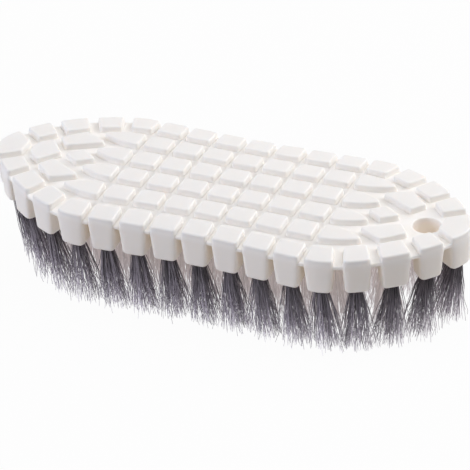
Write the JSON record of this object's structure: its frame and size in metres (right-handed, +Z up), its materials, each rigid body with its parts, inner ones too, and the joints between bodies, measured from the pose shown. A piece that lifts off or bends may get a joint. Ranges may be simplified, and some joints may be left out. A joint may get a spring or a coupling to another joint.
{
  "type": "flexible cleaning brush",
  "caption": "Flexible oval scrubbing brush: a moulded block of raised pads and tapered pegs on a thin bending web, a filament tuft in each peg, and a hanging hole.",
  "frame": {"origin": "under the middle of the block, on the plane that the bristle tips stand on", "axes": "+X runs along the brush towards the end with the hanging hole, +Y across it, +Z up from the bristle tips to the pads"},
  "size_m": [0.1548, 0.0602, 0.0343],
  "materials": {
    "white_plastic": "satin, slightly glossy moulded flexible plastic",
    "grey_filament": "fine matt synthetic filaments"
  },
  "bodies": {
    "column_4": {"block_column_4": "white_plastic", "inner_tufts_4": "grey_filament", "tuft_back_4": "grey_filament", "tuft_front_4": "grey_filament"},
    "column_1": {"block_column_1": "white_plastic", "inner_tufts_1": "grey_filament", "tuft_back_1": "grey_filament", "tuft_front_1": "grey_filament"},
    "column_2": {"block_column_2": "white_plastic", "inner_tufts_2": "grey_filament", "tuft_back_2": "grey_filament", "tuft_front_2": "grey_filament"},
    "column_3": {"block_column_3": "white_plastic", "inner_tufts_3": "grey_filament", "tuft_back_3": "grey_filament", "tuft_front_3": "grey_filament"},
    "column_5": {"block_column_5": "white_plastic", "inner_tufts_5": "grey_filament", "tuft_back_5": "grey_filament", "tuft_front_5": "grey_filament"},
    "column_6": {"block_column_6": "white_plastic", "inner_tufts_6": "grey_filament", "tuft_back_6": "grey_filament", "tuft_front_6": "grey_filament"},
    "column_7": {"block_column_7": "white_plastic", "inner_tufts_7": "grey_filament", "tuft_back_7": "grey_filament", "tuft_front_7": "grey_filament"},
    "left_end": {"block_left_end": "white_plastic", "inner_tufts_left_end": "grey_filament", "tuft_left_end_1": "grey_filament", "tuft_left_end_2": "grey_filament", "tuft_left_end_3": "grey_filament", "tuft_left_end_4": "grey_filament", "tuft_left_end_5": "grey_filament", "tuft_left_end_6": "grey_filament", "tuft_left_end_7": "grey_filament", "tuft_left_end_8": "grey_filament", "tuft_left_end_9": "grey_filament"},
    "right_end": {"block_right_end": "white_plastic", "inner_tufts_right_end": "grey_filament", "tuft_right_end_1": "grey_filament", "tuft_right_end_2": "grey_filament", "tuft_right_end_3": "grey_filament", "tuft_right_end_4": "grey_filament", "tuft_right_end_5": "grey_filament", "tuft_right_end_6": "grey_filament", "tuft_right_end_7": "grey_filament", "tuft_right_end_8": "grey_filament", "tuft_right_end_9": "grey_filament"}
  },
  "joints": [
    {"name": "flex_1", "type": "hinge", "parent": "column_1", "child": "left_end", "pos_m": [-0.035, 0, 0.03147], "axis": [0, 1, 0], "range_deg": [-7, 18], "stiffness_Nm_per_rad": 0.3},
    {"name": "flex_2", "type": "hinge", "parent": "column_2", "child": "column_1", "pos_m": [-0.025, 0, 0.03147], "axis": [0, 1, 0], "range_deg": [-7, 18], "stiffness_Nm_per_rad": 0.3},
    {"name": "flex_3", "type": "hinge", "parent": "column_3", "child": "column_2", "pos_m": [-0.015, 0, 0.03147], "axis": [0, 1, 0], "range_deg": [-7, 18], "stiffness_Nm_per_rad": 0.3},
    {"name": "flex_4", "type": "hinge", "parent": "column_4", "child": "column_3", "pos_m": [-0.005, 0, 0.03147], "axis": [0, 1, 0], "range_deg": [-7, 18], "stiffness_Nm_per_rad": 0.3},
    {"name": "flex_5", "type": "hinge", "parent": "column_4", "child": "column_5", "pos_m": [0.005, 0, 0.03147], "axis": [0, -1, 0], "range_deg": [-7, 18], "stiffness_Nm_per_rad": 0.3},
    {"name": "flex_6", "type": "hinge", "parent": "column_5", "child": "column_6", "pos_m": [0.015, 0, 0.03147], "axis": [0, -1, 0], "range_deg": [-7, 18], "stiffness_Nm_per_rad": 0.3},
    {"name": "flex_7", "type": "hinge", "parent": "column_6", "child": "column_7", "pos_m": [0.025, 0, 0.03147], "axis": [0, -1, 0], "range_deg": [-7, 18], "stiffness_Nm_per_rad": 0.3},
    {"name": "flex_8", "type": "hinge", "parent": "column_7", "child": "right_end", "pos_m": [0.035, 0, 0.03147], "axis": [0, -1, 0], "range_deg": [-7, 18], "stiffness_Nm_per_rad": 0.3}
  ]
}
